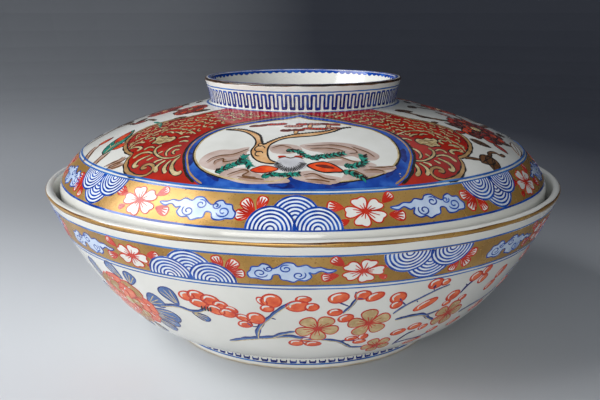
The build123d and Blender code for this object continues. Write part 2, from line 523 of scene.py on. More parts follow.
# Each scroll is its points, from its thin end to its round head, and its width
SCROLLS = (
    ([(43.3, -78), (46.1, -79.2), (50, -78.2), (53, -75.4), (55.2, -71.6), (55.4, -68.2), (53.6, -66.4)],
     0.95),
    ([(43.4, -79.4), (45.1, -82), (45.5, -85), (44.8, -88), (43.2, -90.2), (41.6, -90.6), (41.2, -89.4)],
     1.7), ([(46.6, -81), (48, -83.4), (48.3, -86), (47.2, -88.6)], 1.5),
    ([(48.9, -80.2), (51, -81.8), (52, -84), (51.2, -86.6)], 1.5),
    ([(50.5, -78.9), (52.6, -79), (53.6, -80)], 1.2), ([(55, -75.4), (57.4, -76.6)], 1.2),
    ([(56.7, -73.2), (59.1, -73.8), (61.2, -75), (62.2, -77), (61.6, -78.8), (60.2, -78.6)], 1.5),
    ([(56.2, -72), (58, -70.1), (60.4, -69.2), (62.4, -69.8), (64.2, -71.6)], 1.3),
    ([(68.6, -61.4), (66.2, -61.2), (63.8, -62.6), (62.8, -64.6), (64.2, -65.8)], 1.3),
    ([(56.4, -67.4), (58, -65.6), (59.8, -65.4), (60.8, -66.8)], 1.1),
    ([(49.3, -76.9), (50, -74.3), (49.2, -71.6), (47.2, -70.2), (44.6, -70.6)], 1.2),
    ([(46.2, -76.8), (47.2, -75), (46.4, -73.4), (44.8, -73.8)], 1.1),
    ([(53.6, -73.4), (51.8, -72.2)], 1.0), ([(67.6, -57.6), (65.2, -57.2), (62.6, -58.8)], 1.1),
    ([(62.4, -55.6), (59.9, -55.4), (59.0, -57.4), (60.6, -59)], 1.0),
    ([(47.4, -63), (45.2, -62.4), (42.8, -63.4)], 1.0),
    ([(46.4, -66.8), (44.2, -66.6), (42.4, -67.8)], 1.0), ([(50.4, -55), (48.2, -57), (46.6, -59.4)], 1.0),
    ([(54.6, -53.2), (52.4, -53.8), (51, -56)], 0.9))

PANEL_IN = [
    (0, -96.6), (4.5, -99.6), (10, -100.2), (18, -98.9), (27, -95.6), (34, -90.4), (38.2, -83.2),
    (39.2, -75.6), (36.8, -67), (30.2, -60.9), (21.6, -58.7), (12, -56.6), (4.6, -55), (0, -52.6)]
PANEL_OUT = [
    (0, -104.2), (12, -103.4), (22, -102.6), (33, -99.6), (40.2, -92.4), (43, -84.5), (44.2, -76),
    (42.2, -67.4), (36.4, -60.2), (29, -57), (20, -54.6), (11, -52.2), (4.6, -50.6), (0, -48.2)]


def panel(paper):
    """The lobed white panel in its cobalt frame, edged in black and gold."""
    middle = np.array([0, -77.0])

    def grown(outline, size):
        return (outline - middle) * size + middle
    outer = mirrored(smooth(PANEL_OUT, 1.1)) + [0.9, 0]
    inner = mirrored(smooth(PANEL_IN, 1.1))
    fill(paper, "cobalt", within(outer, LINE_R - 0.4), 0.13)
    for k in range(10):
        a = math.radians(-168 + 34 * k + rng.uniform(-8, 8))
        spot = middle + [41.6 * math.cos(a), 25.6 * math.sin(a)]
        if spot[1] < -64:
            line(paper, "navy", moved([(-5, 0), (0, 0.5), (5, 0)], spot, math.degrees(a) + 90),
                 [1.6, 3.0, 1.6], 0.15)
    fill(paper, "white", inner, 0.17)
    loop(paper, "black", grown(inner, [1.016, 1.022]), 0.8, 0.18)
    loop(paper, "gilt", grown(inner, [1.002, 1.004]), 0.6, 0.2)
    for colour, size, width, lift in (("black", 1.011, 1.0, 0.15), ("brass", 0.98, 0.7, 0.16)):
        edge = grown(outer, size)
        edge = edge[np.hypot(*edge.T) < LINE_R - 0.9]
        line(paper, colour, edge, width, lift, taper=0.3, curved=False)


def rocks(paper):
    """Mauve washes and the brown lines drawn over them."""
    for k, wash in enumerate(WASHES):
        fill(paper, "mauve", smooth(wash, 1.0, closed=True), 0.195 + 0.003 * k)
    for stroke in ROCK_LINES:
        line(paper, "umber", stroke, [0.35, 0.75, 0.45], 0.24)
        line(paper, "sepia", np.array(stroke) + [0.5, -0.9], [0.8, 1.5, 0.8], 0.225)


WASHES = (
    [(-36, -86), (-34, -81), (-29, -78.8), (-23, -79.6), (-17.5, -78.6), (-18, -83), (-16.6, -88),
     (-22, -90.6), (-28, -92), (-32, -90.4)],
    [(-27, -95), (-23, -92.4), (-17, -92.8), (-13, -96), (-8, -98), (-2, -99), (-1, -101), (-9, -101.4),
     (-17, -100.6), (-24, -97.6)],
    [(2, -78.6), (8, -76), (15, -74.8), (22, -75), (28, -77.4), (32.4, -81), (31, -84.6), (26, -85.6),
     (22, -84), (16, -86), (11, -83.4), (6, -82)],
    [(27, -89.6), (31, -88.6), (38, -86.4), (37, -89.6), (31, -93.4), (25, -96.8), (18, -98.4),
     (21, -93.6)], [(1, -96.4), (7, -94.8), (12, -96.6), (18, -97.6), (16, -100.4), (8, -101), (0.6, -99)],
    [(-9.4, -79), (-5, -77.4), (1, -78.6), (3, -82), (-2, -84.6), (-8, -83.6)],
    [(13, -88.6), (20, -87), (28, -86.6), (31, -88.2), (22, -90.6), (15, -90.6)])

ROCK_LINES = (
    [(-33, -86), (-31, -84), (-28, -83), (-23, -83), (-17.5, -80)],
    [(-30, -88), (-29.4, -86), (-26.6, -85.4), (-26, -87.6), (-21, -87)],
    [(-24, -95.6), (-21, -94.4), (-18, -93.6), (-16, -95), (-18, -96.8), (-13, -98.2)],
    [(-20, -97), (-15, -98.4), (-10, -99.4)],
    [(4, -78.8), (10, -77.8), (16, -77), (22, -78.6), (24, -81), (21, -82.4)],
    [(6, -80.6), (11, -79.8), (16, -79.9), (19, -81)],
    [(22, -77), (28, -80), (30.6, -82.6)],
    [(28, -89.6), (33, -88.6), (38, -86.6)],
    [(26, -92), (31, -90.6), (34, -90.8)],
    [(4, -97.4), (8, -96.4), (12, -98.4), (16, -98.8)],
    [(12, -86.2), (17, -85.2), (22, -87.2), (27, -87.6)],
    [(-9, -80.4), (-5, -78.6), (-1, -80.2)],
    [(19, -93), (23, -93), (27, -95)],
    [(5, -99.4), (10, -99.4), (14, -100)],
)


TRUNK = [
    (-28.6, -61.6), (-23, -62.4), (-18, -65.4), (-14.2, -69.6), (-13, -74.4), (-12, -77.2), (-9.8, -75.2),
    (-5.6, -72), (0, -69.4), (6, -67.8), (12, -65.6), (16.4, -62.6), (21.6, -60.3), (18.2, -62.2),
    (14.6, -66), (8, -70), (1.6, -71.6), (-4, -73), (-7.8, -75.8), (-9.8, -79), (-10, -84), (-8.6, -88.4),
    (-5.4, -90.8), (-9.6, -90.6), (-13.2, -88.8), (-15.6, -85.4), (-16.4, -81.4), (-15.2, -77),
    (-15.8, -72.6), (-18.6, -67.8), (-22.6, -64.2)]


def pine(paper):
    """A leaning pine: a tan trunk with a dotted bark edge and flat dark crowns."""
    outline = smooth(TRUNK, 0.8, closed=True)
    shape(paper, "tan", "black", outline, 0.25, 0.65)
    for k in range(6, len(outline) // 2 - 10, 2):
        fill(paper, "black", moved(oval(1.25, 1.25, 8), outline[k]), 0.29)
    for x, y, size in ((-13.2, -80.5, 2.0), (-13.2, -84, 1.5), (-13, -77.5, 1.1)):
        a = np.linspace(0, 5.0, 12)
        line(paper, "black", np.c_[x + size * np.cos(a), y + 1.1 * size * np.sin(a)], 0.55, 0.29,
             curved=False)
    for x, y in ((0, -67.4), (5.4, -61.6), (12.8, -61)):
        line(paper, "black", [(x - 0.2, y - 2), (x, y), (x + 0.3, y + 2)], 2.2, 0.235)
        line(paper, "tan", [(x - 0.2, y - 1.8), (x, y), (x + 0.3, y + 1.8)], 1.3, 0.26)
    for k, (x, y, wide) in enumerate(CROWNS):
        colour = ("maroon", "red", "rose")[k % 3]
        flat = [(-wide / 2, 0), (-wide / 4, 0.9), (0, 0.65), (wide / 3, 1.1), (wide / 2, 0.1),
                (wide / 4, -0.8), (-wide / 3, -0.8)]
        shape(paper, colour, "maroon", moved(smooth(flat, 0.8, True), (x, y)), 0.265 + 0.003 * k, 0.34)
        for i in range(int(wide / 1.2)):
            at = x - wide / 2 + 0.7 + 1.2 * i
            line(paper, "maroon", [(at, y - 0.8), (at + 0.1, y + 0.9)], 0.3, 0.325, curved=False)


# Each crown is its x, y and width
CROWNS = (
    (-15.5, -60.4, 7.5), (-8.5, -59.8, 9), (-1.2, -62, 7.4), (-4, -66, 4.6), (2.2, -60, 5), (7, -59.6, 5.4),
    (13.5, -58.9, 8.4), (7.5, -64, 10), (14.6, -62.4, 6), (0.8, -65.6, 5))


def foreground(paper):
    """Pine sprays, two orange fruits, and a ribbed mound."""
    for spine, length in (
            ([(-28.6, -93.4), (-24, -91), (-20, -88.6), (-18.4, -84.6)], 1.8),
            ([(-19.6, -90.4), (-18, -88), (-16.4, -90.8), (-15.6, -92)], 1.6),
            ([(-11, -98.2), (-7, -97), (-3, -97.4), (2.6, -96.8)], 1.4),
            ([(-3, -82.4), (1, -82.6), (5, -86), (9, -87.4)], 1.4),
            ([(6, -87.4), (10, -86), (14, -84.8), (19, -82.6)], 1.7),
            ([(19, -90.6), (23, -90), (26.4, -87.4), (26.2, -82.6)], 1.8),
            ([(18.6, -94), (22, -94.6), (24, -95.4), (26.4, -96.4)], 1.5)):
        needles(paper, spine, length, 0.24)
    left = smooth([(-15.4, -94.2), (-13, -92.6), (-10.4, -92), (-7.6, -92.7), (-5.2, -94.2), (-7.8, -95.6),
                   (-10.6, -96), (-13.4, -95.5)], 0.8, True)
    shape(paper, "fruit", "maroon", left, 0.28, 0.4)
    right = smooth([(5.4, -92), (8, -90.2), (11.6, -89.3), (15.4, -90.8), (18.6, -94), (15, -95),
                    (11.4, -95.4), (8, -94.2)], 0.8, True)
    shape(paper, "fruit", "black", right, 0.28, 0.55)
    shape(paper, "maroon", "black",
          moved(smooth([(-3.4, 0), (0, 0.9), (3.6, 0), (0, -0.7)], 0.7, True), (11.8, -92.2), -8), 0.32,
          0.2)
    mound = smooth([(-7, -92.6), (-6.2, -90), (-4.6, -87.6), (-1, -86.6), (2.8, -87.6), (4.4, -90),
                    (5, -92.6), (2.6, -94.8), (-1, -95.6), (-4.6, -94.8)], 0.9, True)
    fill(paper, "grey", mound, 0.28)
    for k in range(23):
        a = math.radians(196 + 7.0 * k)
        near, far = (0.52 + 0.1 * (k % 2)), 0.97
        start = np.array([-1 + 6.4 * near * math.cos(a), -89.8 + 6.2 * near * math.sin(a)])
        end = np.array([-1 + 6.4 * far * math.cos(a), -89.8 + 6.2 * far * math.sin(a)])
        line(paper, "black", [start, end], [0.3, 0.6], 0.31, curved=False)
    for x in (-4.3, 1.9):
        fill(paper, "red", moved(oval(3.2, 1.3), (x, -86.5)), 0.32)
    line(paper, "umber", [(-5.6, -87.6), (-3, -86.9), (-1, -87.6), (1, -86.9), (3.8, -87.6)], 0.5, 0.34)


def many_petals(paper, at, size, lift, colours, rings=3, squeeze=1.0, per_ring=9, edge="red", shine=True):
    """A full flower: rings of overlapping petals round a small heart."""
    for ring in range(rings):
        count = per_ring - 2 * ring
        long = size * (1 - 0.28 * ring)
        for k in range(count):
            turn = 360 / count * (k + 0.5 * ring) + rng.uniform(-6, 6)
            outline = petal_outline(long, long * min(0.9, 6.4 / count), long * 0.05, 16) + [0, 0.05 * size]
            stamped = moved(moved(outline, turn=turn) * [1, squeeze], at)
            height = lift + 0.06 * ring + 0.003 * k
            shape(paper, colours[(k + ring) % len(colours)], edge, stamped, height, 0.5)
            mark, ink, wide = [(0, 0.3 * long), (0, 0.85 * long)], edge, 0.5
            if shine:
                mark, ink, wide = [(-0.14 * long, 0.6 * long), (-0.07 * long, 0.84 * long)], "white", 0.6
            mark = moved(moved(mark, turn=turn) * [1, squeeze], at)
            line(paper, ink, mark, wide, height + 0.045, curved=False)
    fill(paper, "gilt", moved(oval(0.3 * size, 0.3 * size), at), lift + 0.06 * rings + 0.05)


def leaf(paper, at, length, width, turn, colour, edge, lift, ribs=3, vein=None):
    """A leaf with a midrib and side ribs."""
    vein = vein or edge
    shape(paper, colour, edge, moved(leaf_outline(length, width), at, turn), lift, 0.5)
    line(paper, vein, moved([(0, 0.05 * length), (0, 0.9 * length)], at, turn), 0.42, lift + 0.04,
         curved=False)
    for k in range(ribs):
        y = length * (0.25 + 0.5 * k / max(1, ribs - 1))
        for side in (-1, 1):
            rib = [(0, y), (side * 0.3 * width, y + 0.13 * length)]
            line(paper, vein, moved(rib, at, turn), 0.32, lift + 0.04, curved=False)


def garden(paper):
    """The white ground between two panels: a large red flower, twigs, leaves and brushwood."""
    for points, wide in GARDEN_STEMS:
        line(paper, "black", points, wide + 0.9, 0.05, taper=0.4)
        line(paper, "umber", points, wide, 0.08, taper=0.4)
    for points in (
            [(68.6, -77), (68.4, -74.4), (68.6, -71.6), (66.8, -69.4)],
            [(70.8, -75.4), (71.8, -72), (71.6, -69)], [(61, -85), (57.4, -82.2), (54, -80.2)],
            [(51, -91.6), (43, -91.2), (38.6, -89.6)]):
        p = np.array(points)
        line(paper, "sepia", p, [1.4, 3.8, 2.0], 0.06)
        line(paper, "umber", p + [1.2, 1.2], [0.5, 1.1, 0.5], 0.1)
        line(paper, "umber", p - [0.7, 1.2], [0.4, 0.8, 0.4], 0.1)
    many_petals(paper, (-24, -79), 15.5, 0.1, ("red", "maroon", "fruit", "maroon"), 3, 0.84, 13, "black",
                shine=False)
    many_petals(paper, (22.5, -50.5), 7.6, 0.1, ("red", "maroon", "fruit"), 2, edge="maroon", shine=False)
    many_petals(paper, (6, -66), 8.4, 0.1, ("fruit", "red", "maroon"), 2, edge="maroon", shine=False)
    for x, y, long, wide, turn in GARDEN_LEAVES:
        leaf(paper, (x, y), long, wide, turn, "umber", "black", 0.09)
    for x, y, long, turn in ((-38, -84.5, 8, 128), (18, -79, 9, -28), (-36.5, -72, 7, 40),
                             (-13, -70, 8, -20)):
        leaf(paper, (x, y), long, 0.45 * long, turn, "red", "black", 0.1, ribs=0)
    for turn in (58, 86):
        leaf(paper, (-56.8, -80.0), 10.4, 6.0, turn, "umber", "black", 0.1, ribs=0)
    leaf(paper, (55.6, -82.2), 23, 8.4, 69, "teal", "black", 0.1, ribs=4, vein="tan")
    for x, y, long, wide, turn, lift in ((46.6, -79.4, 12, 4.8, 68, 0.16), (53.8, -78.6, 7.4, 4.2, 18, 0.1),
                                         (39, -89, 7.2, 3.6, 42, 0.1)):
        leaf(paper, (x, y), long, wide, turn, "fruit", "maroon", lift, ribs=0)
    leaf(paper, (-19, -97), 19, 4.4, 88, "white", "umber", 0.1, ribs=0)
    for points in ([(-25, -63.4), (-24.6, -68), (-15, -76.6)], [(30, -66), (36, -62), (44, -60)]):
        line(paper, "teal", points, [0.8, 2.0, 0.8], 0.09)


# Each stem is its points and width
GARDEN_STEMS = (
    ([(21, -101), (17, -95), (8, -90.6), (-6, -86), (-16, -80), (-24, -68), (-29, -56), (-28, -46)], 1.7),
    ([(-67, -66.5), (-64.4, -72), (-62.6, -75.8), (-57.2, -79), (-52.5, -80.2), (-50, -83), (-50.7, -85.2),
      (-47.9, -87)], 1.1), ([(18.6, -72.4), (21.5, -69.4), (27.2, -65.9)], 0.9),
    ([(-16, -80), (-2, -74), (8, -66), (16, -57), (24, -50)], 1.4),
    ([(8, -90.6), (12, -82), (18, -79)], 1.1), ([(-36, -57.6), (-32.8, -60.7)], 1.2),
    ([(2, -72), (-4, -62), (-10, -54)], 1.1))

# Each leaf is its x, y, length, width and turn
GARDEN_LEAVES = (
    (-44.2, -73, 9, 5, 170), (-31.6, -86, 9, 4.4, 200), (20.6, -59, 10.5, 4, -38),
    (28.2, -49.4, 9.6, 3.6, -16), (-30.4, -64, 8.4, 3.2, 176), (-29.6, -42, 10, 3.4, 212),
    (-30.2, -51.6, 5.4, 3, 192), (-9, -94, 8, 3.8, 70), (2, -86, 8.6, 4.2, -60), (12, -74, 8, 4, -110),
    (-10, -53, 7.4, 3.6, 60), (-3, -60, 7.6, 3.6, -50), (34, -56, 7, 3, -20), (10, -98, 8.6, 4.2, 110),
    (-2, -50.6, 6.6, 3, -84))


# The bowl's wall: x is the angle from the front in hundredths of a radian

def berry(paper, x, y, wide, tall, turn, lift=0.06):
    """A round bud with a red edge and a pale glint."""
    wide, tall = 1.06 * wide, 1.12 * tall
    shape(paper, "orange", "red", moved(oval(wide, tall), (x, y), turn), lift, 0.55)
    glint = moved([(-0.33 * wide, -0.08 * tall), (-0.26 * wide, 0.24 * tall), (0, 0.36 * tall),
                   (0.2 * wide, 0.3 * tall)], (x, y), turn)
    line(paper, "white", glint, [0.4, 0.9, 0.5], lift + 0.05)


def twig(paper, points, wide):
    """A blue stem with a dark edge above and a gold edge below."""
    p = np.array(points, float)
    wide = np.array(wide) * 1.25
    thick = np.max(wide)
    line(paper, "navy", p, wide + 0.25, 0.05, taper=1.5)
    if thick > 1.0:
        line(paper, "slate", p - [0, 0.1 * thick], wide * 0.5, 0.08)
        line(paper, "gilt", p - [-0.15, 0.42 * thick], wide * 0.26, 0.11)


def plum_branch(paper):
    """The branch on the right of the front, with gold blossoms and orange buds."""
    for points, wide in (
            ([(-31.4, 33.6), (-26, 36), (-21, 37.8), (-12, 40), (-6, 41), (-1, 39.8), (4, 38.6)],
             [0.6, 2.0, 1.6, 1.8, 1.4]), ([(-12, 40), (-8, 42.6), (-3, 44.7)], [1.4, 1.4, 0.8]),
            ([(7, 38.6), (14, 36.4), (18, 32.6), (21, 29.8), (27, 28.8)], [1.5, 1.3, 1.0]),
            ([(15, 36.4), (18, 36.4), (21.5, 35.8)], 0.8),
            ([(-18, 39.2), (-17, 44.5), (-14.6, 49.8), (-11.5, 53.9), (-8.7, 57.8), (-5.2, 61.5),
              (-2.6, 63.2)], [1.7, 1.2, 0.9])):
        twig(paper, points, wide)
    for run in (
            [(-11.6, 53.4), (-9.6, 52.3)], [(-20.6, 49), (-18.6, 46.8), (-15.6, 47.2)],
            [(11.6, 62.5), (15.5, 59.8)], [(20, 63.7), (17.4, 64)],
            [(33.4, 61.6), (34.6, 59.6), (36.6, 57.2)], [(40.4, 59.4), (41.4, 57.6)],
            [(46, 66.3), (46.2, 63.2)], [(62.4, 60.9), (61.4, 62.4)], [(45.8, 66), (45.4, 64.4)]):
        line(paper, "navy", run, 0.6, 0.06)
    for points, wide in (
            ([(13.8, 56), (16, 59.4), (17, 62), (17.7, 64.3), (17, 67.6)], [1.0, 0.9, 0.6]),
            ([(33, 52.6), (36.4, 56.3), (40.3, 59), (44.4, 61.4), (47.8, 63.2), (52.5, 64.8)],
             [0.9, 0.7, 0.4]), ([(61, 57), (62.4, 60.9), (65, 63.6)], 0.8),
            ([(35, 48.4), (41, 49.1), (47, 48.4), (51, 45), (55.4, 42)], [1.0, 1.5, 1.0]),
            ([(46, 48.2), (50, 47.6), (54.6, 49)], 0.9),
            ([(70.5, 41.6), (77.8, 43.8), (86, 45), (93, 48), (96, 55), (101, 60)], [1.0, 0.9, 0.6]),
            ([(42.4, 25.4), (43.7, 31.2), (46.1, 35), (49, 36.2)], 0.8),
            ([(42.3, 26.6), (48, 28), (55, 28), (60.4, 30.5)], 0.7)):
        twig(paper, points, wide)
    for x, y, wide, tall, turn in (
            (-10.4, 63.3, 6.4, 6.6, 0), (-12.2, 58.8, 4.4, 3.4, 0), (-13.6, 62.8, 2.6, 4.4, 30),
            (-16.9, 52.4, 6.2, 6.2, 0), (-21.6, 52.2, 5.0, 3.2, -30), (-21.5, 47.8, 5.2, 3.8, 10),
            (-1.8, 60.6, 7.4, 5.4, 8), (0.1, 64.4, 4.8, 3.0, 0), (3.0, 60.0, 4.4, 3.8, 15),
            (11.6, 64.8, 6.6, 4.8, 20), (19.6, 65.6, 5.2, 4.2, 10), (24.0, 64.2, 6.2, 3.6, 28),
            (11.0, 56.6, 4.8, 3.6, 0), (15.2, 52.6, 5.4, 4.0, 28), (-2.8, 35.6, 5.6, 4.2, -5),
            (1.4, 38.4, 4.2, 2.6, 0), (4.0, 34.8, 6.4, 3.4, 0), (19.4, 37.8, 4.8, 2.8, 10),
            (24.2, 38.4, 4.0, 3.6, 40), (23.4, 34.6, 5.2, 3.0, 0), (32.6, 62.2, 5.6, 5.2, 30),
            (32.8, 58, 4.2, 3.6, 20), (45.9, 66.9, 5.6, 4.6, 10), (50, 66.7, 3.4, 2.8, 10),
            (45.6, 55.2, 9.6, 3.6, 33), (57.4, 57, 5.8, 5.0, 35), (56.2, 52.8, 3.4, 2.6, 20),
            (64.2, 53.4, 3.6, 2.8, 30), (64.6, 65.6, 5.4, 4.2, 20), (69.6, 67.4, 4.8, 3.6, 50),
            (70, 62.6, 4.8, 3.6, 50), (79.6, 55.6, 5.8, 3.4, 55), (82.4, 62.2, 6.6, 3.6, 60),
            (84.6, 40, 7.6, 3.4, 40), (74.2, 33, 7, 3.4, 35), (98, 50, 6.4, 3.4, 60), (102, 65, 7, 4.0, 60),
            (39.8, 38, 6.2, 3.6, 15), (46.8, 40.2, 5.8, 3.8, 10), (52, 38, 4.2, 3.0, 30),
            (53.8, 24.8, 8.6, 2.8, 22), (60.6, 32.4, 5.2, 2.6, 35)):
        berry(paper, x, y, wide, tall, turn)
    for x, y, size, turn, squeeze in ((5.4, 46.6, 8.0, 40, 1.0), (24.6, 48.2, 8.0, 8, 1.0),
                                      (32.6, 28.8, 6.6, 30, 1.0), (61.4, 44.4, 7.2, 60, 1.1)):
        blossom(paper, (x, y), size, turn, "old_gold", 0.12, 0.0, squeeze, 0.84)


def peony(paper):
    """The full flower on the left of the front, with its leaves and a small flower on a stem."""
    for x, y, long, wide, turn in (
            (-71, 62, 9.5, 6.4, 38), (-67.6, 60, 8.0, 6.6, -24), (-90, 52, 15, 7, 4),
            (-62.8, 50.6, 9.6, 9.6, -58), (-64.4, 46.4, 14.4, 8.6, -100), (-66, 40, 10.6, 7, -136),
            (-64.6, 44, 12.6, 7, -118), (-91, 44, 11, 6, 70), (-80, 33, 9, 6, 150),
            (-46.6, 54.6, 10.2, 8.0, 24), (-41.8, 51.4, 7.4, 4.6, -122), (-73, 33, 8, 5.5, 190)):
        lift = 0.05 + 0.0001 * abs(turn)
        shape(paper, "slate", "navy", moved(petal_outline(long, wide), (x, y), turn), lift, 0.5)
        for lean in (-17, 0, 17):
            vein = moved([(0, 0.12 * long), (0, 0.84 * long)], turn=lean)
            line(paper, "gilt", moved(vein, (x, y), turn), 0.38, lift + 0.04, curved=False)
    twig(paper, [(-57, 51.4), (-48.4, 53.6), (-42.8, 52.4), (-39, 52.8), (-34.6, 55.6)], [1.5, 1.1, 1.0])
    many_petals(paper, (-77, 47.4), 15.4, 0.09, ("orange", "gold", "orange"), 3, per_ring=8)
    for x, y, wide, tall, turn in (
            (-41.0, 61.4, 6.0, 4.6, 20), (-36.8, 62.4, 6.6, 5.2, 0), (-32, 60.8, 6.6, 5.2, -20),
            (-37.0, 58.2, 6.8, 4.4, -10), (-28.8, 58.2, 5.4, 5.0, -20), (-31.4, 55.4, 7.0, 4.6, -30),
            (-27, 54.2, 5.8, 4.6, -20), (-25.2, 56.6, 5.0, 2.8, -35)):
        berry(paper, x, y, wide, tall, turn, 0.08)
    for dx in (-2.0, -0.8, 0.4, 1.4):
        line(paper, "black", [(-34.8 + dx, 53.8), (-34.4 + dx, 56.8)], 0.6, 0.17)


# Borders

def meander(paper, count, low, high, wide):
    """A brushed square wave right round a wall. The paint pools along its low strokes."""
    pitch = 2 * math.pi * paper.radius / count
    for k in range(count):
        x = k * pitch
        jog = rng.uniform(-0.12, 0.12, 4)
        run = [(x, low + jog[0]), (x + 0.1 * jog[3], high + jog[1]), (x + 0.52 * pitch, high + jog[1]),
               (x + 0.55 * pitch, low + jog[2]), (x + pitch, low + jog[2])]
        for a, b, thick in zip(run, run[1:], (1.0, 0.8, 1.0, 1.15)):
            a, b = np.array(a), np.array(b)
            past = (b - a) / np.hypot(*(b - a)) * 0.4 * wide
            line(paper, "navy" if thick > 0.9 else "cobalt", [a - past, b + past],
                 wide * thick * rng.uniform(0.85, 1.15), 0.04, taper=0.12, curved=False)


def foot_marks(paper, count, low, high):
    """Small open boxes right round the foot."""
    pitch = 2 * math.pi * paper.radius / count
    for k in range(count):
        x, half = k * pitch, 0.31 * pitch
        for upright in (x - half, x + half):
            line(paper, "navy", [(upright, high), (upright, low)], 0.75, 0.04, curved=False)
        line(paper, "navy", [(x - half - 0.2, low), (x + half + 0.2, low)], 1.0, 0.045, taper=0.2,
             curved=False)


def scallops(paper, count, low, high):
    """A dark blue edge with small scallops along its lower side, inside the grip ring's lip."""
    pitch = 2 * math.pi * paper.radius / count
    band(paper, "cobalt", low + 0.7, high, 0.03, 0.04, rows=6)
    for k in range(count):
        x, deep = k * pitch, rng.uniform(-0.2, 0.25)
        fill(paper, "cobalt",
             smooth([(x - pitch / 2, low + 1.1), (x - pitch / 3, low + 0.4 + deep), (x, low + deep),
                     (x + pitch / 3, low + 0.4 + deep), (x + pitch / 2, low + 1.1)], 0.6), 0.04)


# Materials

def material(name, tones, grain, roughness, metallic=0.0, bump=0.0, speck=None, worn=None):
    """A glazed paint whose tone drifts in cloudy patches between three colours.

    Grain is patches in a metre. Speck is the colour of small dots, and worn the colour of rubbed spots."""
    made = bpy.data.materials.new(name)
    made.use_nodes = True
    nodes, links = made.node_tree.nodes, made.node_tree.links
    shader = nodes["Principled BSDF"]
    shader.inputs["Metallic"].default_value = metallic
    where = nodes.new("ShaderNodeTexCoord").outputs["Object"]

    def noise(scale, detail):
        node = nodes.new("ShaderNodeTexNoise")
        node.inputs["Scale"].default_value = scale
        node.inputs["Detail"].default_value = detail
        links.new(where, node.inputs["Vector"])
        return node.outputs["Fac"]

    def ramp(source, stops):
        node = nodes.new("ShaderNodeValToRGB")
        while len(node.color_ramp.elements) < len(stops):
            node.color_ramp.elements.new(0.5)
        for element, (place, colour) in zip(node.color_ramp.elements, stops):
            element.position = place
            element.color = (*colour, 1)
        links.new(source, node.inputs["Fac"])
        return node.outputs["Color"]

    def mix(amount, first, second):
        node = nodes.new("ShaderNodeMix")
        node.data_type = "RGBA"
        links.new(amount, node.inputs[0])
        links.new(first, node.inputs[6])
        node.inputs[7].default_value = (*second, 1)
        return node.outputs[2]

    dark, middle, light = tones
    colour = ramp(noise(grain, 5), [(0.30, dark), (0.5, middle), (0.70, light)])
    if worn:
        colour = mix(ramp(noise(grain * 30, 4), [(0.62, (0, 0, 0)), (0.70, (1, 1, 1))]), colour, worn)
    if speck:
        cells = nodes.new("ShaderNodeTexVoronoi")
        cells.inputs["Scale"].default_value = 75
        links.new(where, cells.inputs["Vector"])
        colour = mix(ramp(cells.outputs["Distance"], [(0.0, (0.75, 0.75, 0.75)), (0.022, (0, 0, 0))]),
                     colour, speck)
    links.new(colour, shader.inputs["Base Color"])
    low, high = roughness
    rough = ramp(noise(grain * 2.3, 3), [(0.3, (low,) * 3), (0.7, (high,) * 3)])
    links.new(rough, shader.inputs["Roughness"])
    if bump:
        node = nodes.new("ShaderNodeBump")
        node.inputs["Strength"].default_value = bump
        node.inputs["Distance"].default_value = 0.0004
        links.new(noise(grain * 1.5, 2), node.inputs["Height"])
        links.new(node.outputs["Normal"], shader.inputs["Normal"])
    return made


